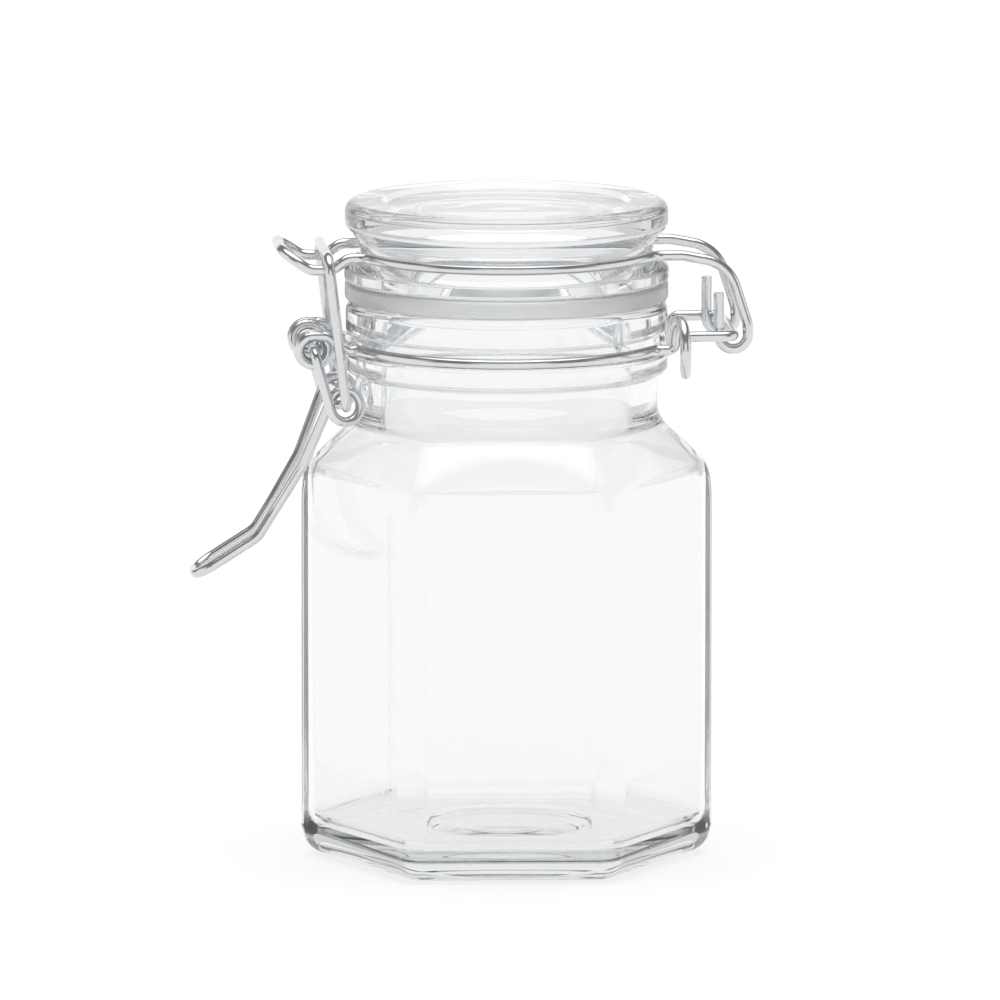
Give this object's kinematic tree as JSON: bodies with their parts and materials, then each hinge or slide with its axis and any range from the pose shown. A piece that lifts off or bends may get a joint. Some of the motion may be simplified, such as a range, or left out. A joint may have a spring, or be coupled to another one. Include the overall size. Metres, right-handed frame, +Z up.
{
  "type": "bail clamp jar",
  "caption": "Small hexagonal glass jar with a glass lid, a sealing ring and a bent-wire hinge and over-centre bail clamp.",
  "frame": {"origin": "centre of the jar's base, on the surface that it stands on", "axes": "+Z up along the jar's axis, hinge towards +X, latch towards -X, hinge and latch pivots parallel to Y"},
  "size_m": [0.084, 0.0564, 0.0996],
  "materials": {
    "clear_glass": "clear, polished",
    "clear_silicone": "translucent, satin",
    "steel_wire": "bright"
  },
  "bodies": {
    "jar": {"glass_jar": "clear_glass", "neck_wire": "steel_wire"},
    "lid": {"glass_lid": "clear_glass", "gasket": "clear_silicone", "lid_wire": "steel_wire"},
    "handle": {"latch_handle": "steel_wire"},
    "link": {"latch_link": "steel_wire"}
  },
  "joints": [
    {"name": "lid_hinge", "type": "hinge", "parent": "jar", "child": "lid", "pos_m": [0.0333, 0, 0.08], "axis": [0, 1, 0], "range_deg": [0, 200]},
    {"name": "handle_pivot", "type": "hinge", "parent": "jar", "child": "handle", "pos_m": [-0.0295, 0, 0.078], "axis": [0, 1, 0], "range_deg": [0, 115], "deforming": ["latch_link"]},
    {"name": "link_pivot", "type": "hinge", "parent": "handle", "child": "link", "pos_m": [-0.0249, 0, 0.0698], "axis": [0, 1, 0], "range_deg": [-115, 0]}
  ],
  "couplings": [
    {"joint": "link_pivot", "follows": "handle_pivot", "ratio": -1}
  ]
}
